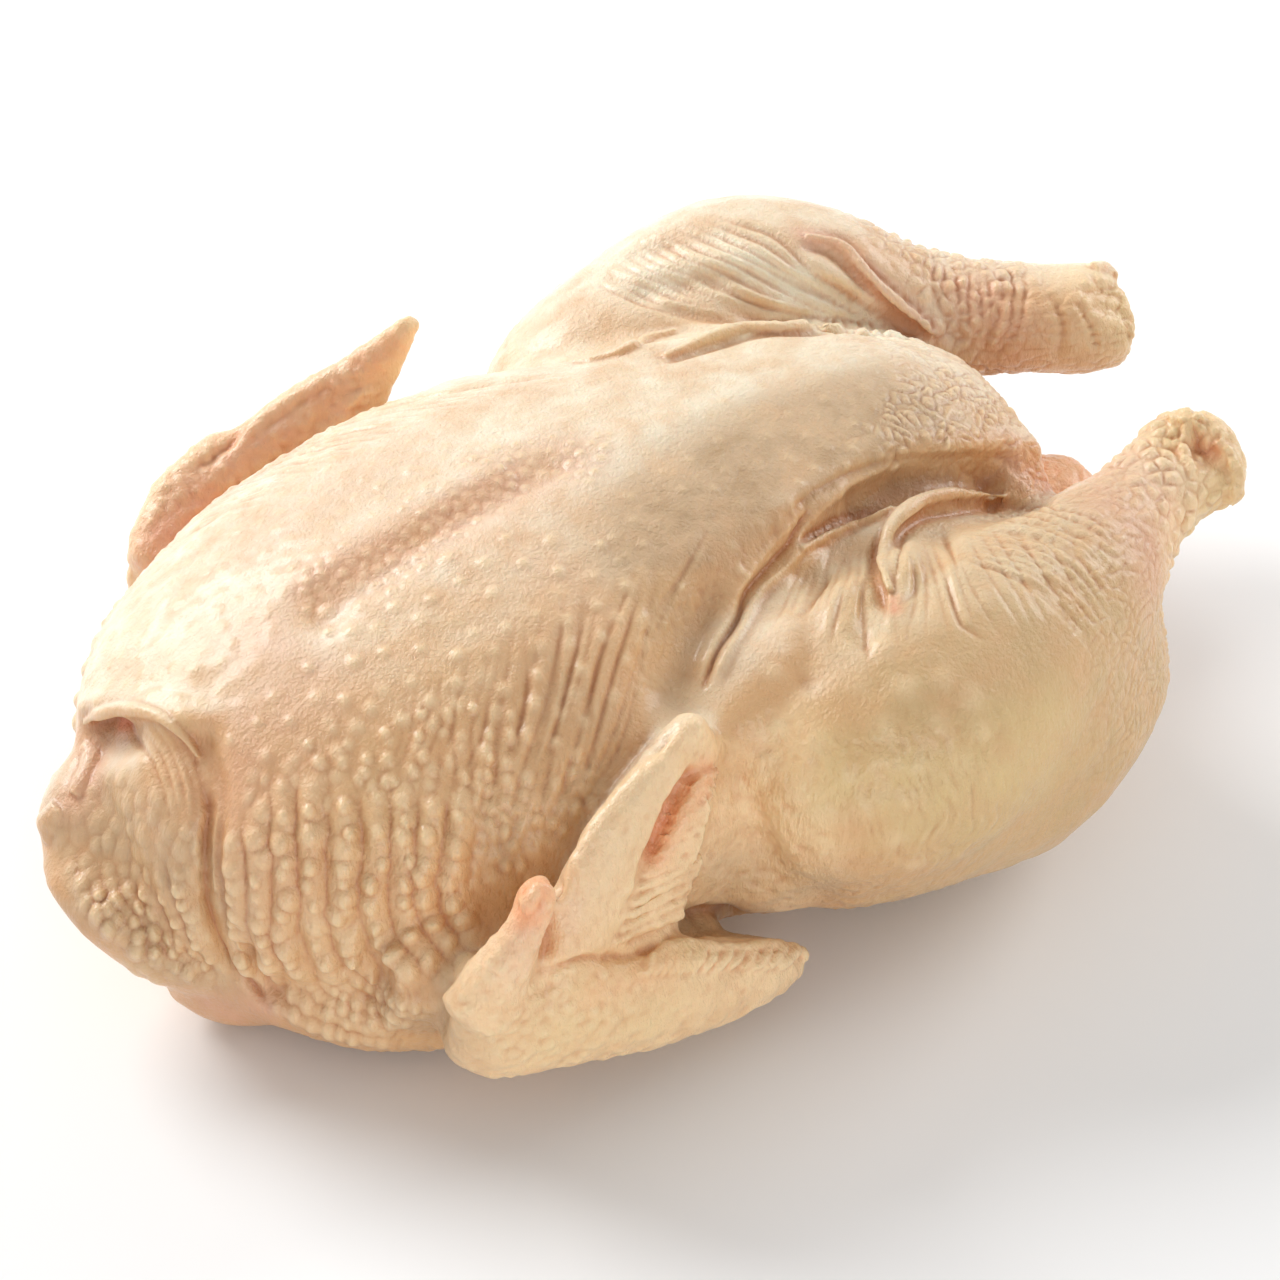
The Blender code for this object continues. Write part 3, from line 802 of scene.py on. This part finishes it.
def sculpt_texture(skin, random):
    """Follicles, crackled skin and fine unevenness."""
    for spacing, radius, height, stretch, pixels in FOLLICLES:
        wanted = skin.shown_in(pixels)
        centres = spread(skin, 0.6 * wanted, spacing, random)
        count = len(centres)
        radii = radius * random.uniform(0.75, 1.15, count)
        heights = height * random.uniform(0.4, 1.0, count) ** 1.3
        # The follicles' tops are tinted pale: paler skin, partly a painted highlight
        skin.bumps(centres, radii, heights, "pale", stretch)
    x, y, z = skin.points.T
    up = skin.normals[:, 2]
    waver = [value_noise(skin.points / WAVER_SIZE, SEED + 5 + k) for k in range(3)]
    warped = skin.points + WAVER * np.stack(waver, 1)
    ankle = smooth_step(*ANKLE_X, x) * smooth_step(*ANKLE_Y, np.abs(y)) * smooth_step(*ANKLE_Z, z)
    knuckle = smooth_step(*KNUCKLE_X, x)
    leg = smooth_step(*LEG_X, x) * (1 - ankle) * smooth_step(*LEG_Z, z) * smooth_step(*LEG_Y, y)
    rear = skin.shown_in(REAR_CRUMPLE)[:, None]
    rear = evened(rear, edges_of(skin.item.data), SOFT_ROUNDS)[:, 0]
    skin.height += ankle * (1 - 0.8 * knuckle) * crackled(skin.points, *ANKLE_CRACKLE, SEED)
    skin.height += leg * crackled(warped * LEG_STRETCH, *LEG_CRACKLE, SEED + 1)
    skin.height += rear * crackled(warped, *REAR_CRACKLE, SEED + 8)
    for height, size, number in ALL_OVER:
        skin.height += height * value_noise(skin.points / size, SEED + number)
    wings = wing_share(skin)
    side = smooth_step(*SIDE_UP, up) * smooth_step(*SIDE_REAR_X, x) * smooth_step(*SIDE_FRONT_X, x)
    side *= 1 - wings
    for height, size, number in SIDE_GRAIN:
        skin.height += height * side * value_noise(warped * SIDE_STRETCH / size, SEED + number)
    for places, (height, size, number) in ((skin.points, WING_FINE), (warped, WING_COARSE)):
        skin.height += height * wings * value_noise(places / size, SEED + number)


def find_relief(skin):
    """Marks what stands out from its surroundings and what lies in a crease, as 1 and 0 about a half."""
    edges = edges_of(skin.item.data)
    around = evened(skin.points, edges, RELIEF_ROUNDS)
    proud = np.sum((skin.points - around) * skin.normals, axis=1)
    skin.masks["relief"] = 0.5 + 0.5 * np.clip(proud / RELIEF_MOST, -1, 1)


def keep_masks(skin):
    """Stores each mask on the mesh, for the material to read."""
    for name, values in skin.masks.items():
        layer = skin.item.data.attributes.new(name, "FLOAT", "POINT")
        layer.data.foreach_set("value", np.clip(values, 0, 1).astype(np.float32))


class Nodes:
    """Short ways to add nodes to a material."""

    def __init__(self, material):
        material.use_nodes = True
        self.tree = material.node_tree
        self.shader = self.tree.nodes["Principled BSDF"]

    def add(self, kind, **values):
        node = self.tree.nodes.new(kind)
        for key, value in values.items():
            setattr(node, key, value)
        return node

    def link(self, source, target):
        self.tree.links.new(source, target)

    def place(self):
        return self.add("ShaderNodeTexCoord").outputs["Object"]

    def noise(self, scale, detail=3.0, roughness=0.55, stretch=None):
        node = self.add("ShaderNodeTexNoise")
        node.inputs["Scale"].default_value = scale
        node.inputs["Detail"].default_value = detail
        node.inputs["Roughness"].default_value = roughness
        where = self.place()
        if stretch:
            scaled = self.add("ShaderNodeVectorMath", operation="MULTIPLY")
            self.link(where, scaled.inputs[0])
            scaled.inputs[1].default_value = stretch
            where = scaled.outputs[0]
        self.link(where, node.inputs["Vector"])
        return node.outputs["Fac"]

    def mask(self, name):
        return self.add("ShaderNodeAttribute", attribute_name=name).outputs["Fac"]

    def ranged(self, value, low, high, to_low=0.0, to_high=1.0):
        node = self.add("ShaderNodeMapRange")
        node.inputs["From Min"].default_value = low
        node.inputs["From Max"].default_value = high
        node.inputs["To Min"].default_value = to_low
        node.inputs["To Max"].default_value = to_high
        self.link(value, node.inputs["Value"])
        return node.outputs["Result"]

    def maths(self, operation, first, second):
        node = self.add("ShaderNodeMath", operation=operation)
        for socket, value in zip(node.inputs, (first, second)):
            if isinstance(value, (int, float)):
                socket.default_value = value
            else:
                self.link(value, socket)
        return node.outputs[0]

    def mixed(self, share, first, second, blend="MIX"):
        node = self.add("ShaderNodeMix", data_type="RGBA", blend_type=blend)
        for socket, value in zip((node.inputs[0], node.inputs[6], node.inputs[7]), (share, first, second)):
            if isinstance(value, (int, float, tuple)):
                socket.default_value = value
            else:
                self.link(value, socket)
        return node.outputs[2]


SKIN_TONE = (0.74, 0.447, 0.213, 1)
SKIN_WARM = (0.72, 0.383, 0.173, 1)
CREASE_SHADE = (0.74, 0.49, 0.36, 1)
PEAK_HIGHLIGHT = (0.95, 0.73, 0.44, 1)
# Tints by mask. The whitish tint towards the light is a painted highlight, the darker one on the near side
# is painted shade, the pale one on bumps is partly a painted highlight, and the brownish one is the skin's
# own colour on the neck flap and painted shade in hollows.
TINTS = (
    ("near_side_shade", (0.63, 0.42, 0.20, 1), 0.85),
    ("painted_highlight", (0.95, 0.84, 0.64, 1), 0.95),
    ("peach", (1.0, 0.71, 0.41, 1), 0.9),
    ("pale", (0.92, 0.69, 0.42, 1), 0.8),
    ("yellow", (0.76, 0.55, 0.25, 1), 0.8),
    ("grey_and_shade", (0.50, 0.32, 0.165, 1), 0.8),
    ("pink", (0.76, 0.40, 0.27, 1), 0.75),
    ("flesh", (0.93, 0.42, 0.20, 1), 0.85),
    ("red", (0.75, 0.18, 0.08, 1), 0.8),
)


def raw_skin():
    """Moist raw skin: mottled, with tints by mask, painted shade in creases and a painted highlight on what
    stands out, fine pores, and light that sinks in.
    """
    made = bpy.data.materials.new("raw_skin")
    n = Nodes(made)
    colour = n.mixed(n.ranged(n.noise(38, 4), 0.35, 0.7), SKIN_TONE, SKIN_WARM)
    for name, tint, most in TINTS:
        uneven = n.ranged(n.noise(120, 4), 0.32, 0.68, 0.5, 1.2)
        share = n.maths("MULTIPLY", n.maths("MULTIPLY", n.mask(name), uneven), most)
        colour = n.mixed(share, colour, tint)
    # Painted shade darkens the creases and a painted highlight lightens what stands out
    low = n.ranged(n.mask("relief"), 0.5, 0.12, 0.0, 0.85)
    high = n.ranged(n.mask("relief"), 0.55, 0.95, 0.0, 0.5)
    colour = n.mixed(low, colour, CREASE_SHADE, "MULTIPLY")
    colour = n.mixed(high, colour, PEAK_HIGHLIGHT)
    n.link(colour, n.shader.inputs["Base Color"])
    rough = n.ranged(n.noise(260, 2), 0.3, 0.7, 0.30, 0.46)
    n.link(rough, n.shader.inputs["Roughness"])
    n.shader.inputs["Subsurface Weight"].default_value = 0.15
    n.shader.inputs["Subsurface Radius"].default_value = (1.0, 0.45, 0.25)
    n.shader.inputs["Subsurface Scale"].default_value = 0.0035
    n.shader.inputs["Specular IOR Level"].default_value = 0.5
    n.shader.inputs["Coat Weight"].default_value = 0.35
    n.shader.inputs["Coat Roughness"].default_value = 0.18
    bump = n.add("ShaderNodeBump")
    bump.inputs["Strength"].default_value = 0.7
    bump.inputs["Distance"].default_value = 0.0006
    upright = n.maths("MULTIPLY", n.noise(1100, 3, 0.6, (1.0, 1.0, 0.22)), 1.3)
    grain = n.maths("ADD", n.maths("ADD", n.noise(900, 4, 0.65), upright), n.noise(350, 3))
    n.link(grain, bump.inputs["Height"])
    n.link(bump.outputs["Normal"], n.shader.inputs["Normal"])
    return made


def grow_skin(solid):
    random = np.random.default_rng(SEED)
    skin_item = fine_copy(solid)
    remeshed(skin_item, BASE_VOXEL, BASE_ROUNDS)
    ground = Ground(skin_item.data)
    sculpt_rolls(ground, skin_item, random)
    remeshed(skin_item, FINE_VOXEL, FINE_ROUNDS)
    skin = Skin(skin_item)
    sculpt_folds(ground, skin, random)
    paint_skin(ground, skin)
    sculpt_texture(skin, random)
    skin.lift()
    find_relief(skin)
    keep_masks(skin)
    skin_item.data.shade_smooth()
    skin_item.data.materials.clear()
    skin_item.data.materials.append(raw_skin())
    print("skin:", len(skin_item.data.vertices), "points")
    return skin_item


def add_floor():
    """A plain pale floor."""
    bpy.ops.mesh.primitive_plane_add(size=12, location=(0, 0, -0.0005))
    floor = bpy.context.active_object
    floor.name = "floor"
    material = bpy.data.materials.new("floor")
    n = Nodes(material)
    n.shader.inputs["Base Color"].default_value = (0.93, 0.93, 0.93, 1)
    n.shader.inputs["Roughness"].default_value = 0.9
    floor.data.materials.append(material)
    return floor


# Lights: (name, place and size in metres, power in watts)
LIGHTS = (
    ("key", (-0.5, 1.1, 0.95), 0.9, 22),
    ("side", (1.3, 0.1, 0.6), 0.8, 9),
    ("fill", (-0.3, -1.4, 0.4), 0.9, 6.5),
)
WORLD_STRENGTH = 0.45


def area_light(name, place, size, power):
    """A soft light that looks at the bird."""
    data = bpy.data.lights.new(name, "AREA")
    data.shape = "DISK"
    data.size = size
    data.energy = power
    light = bpy.data.objects.new(name, data)
    light.location = place
    light.rotation_euler = (Vector((0, 0, 0.04)) - Vector(place)).to_track_quat("-Z", "Y").to_euler()
    bpy.context.scene.collection.objects.link(light)


def add_studio():
    """Pale surroundings and soft lights: above and behind, from the legs' side, and a weak fill in front."""
    world = bpy.data.worlds.new("studio")
    world.use_nodes = True
    world.node_tree.nodes["Background"].inputs["Color"].default_value = (1, 1, 1, 1)
    world.node_tree.nodes["Background"].inputs["Strength"].default_value = WORLD_STRENGTH
    bpy.context.scene.world = world
    for light in LIGHTS:
        area_light(*light)
    bpy.context.scene.view_settings.view_transform = "Standard"


def add_camera():
    data = bpy.data.cameras.new("camera")
    data.lens = LENS
    data.sensor_width = SENSOR
    data.clip_end = 100
    camera = bpy.data.objects.new("camera", data)
    camera.location = (TARGET + BACK * DISTANCE) * MM
    camera.rotation_euler = BACK.to_track_quat("Z", "Y").to_euler()
    bpy.context.scene.collection.objects.link(camera)
    bpy.context.scene.camera = camera


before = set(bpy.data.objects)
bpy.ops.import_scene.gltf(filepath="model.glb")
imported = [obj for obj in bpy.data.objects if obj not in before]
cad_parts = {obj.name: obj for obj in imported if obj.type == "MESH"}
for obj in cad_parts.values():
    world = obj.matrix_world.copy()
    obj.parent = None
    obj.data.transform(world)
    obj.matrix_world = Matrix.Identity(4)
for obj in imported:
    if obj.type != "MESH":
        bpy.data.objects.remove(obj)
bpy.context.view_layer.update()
add_camera()
add_studio()
add_floor()
bird = grow_skin(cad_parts["chicken"])
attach(bird, "root")
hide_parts("chicken")
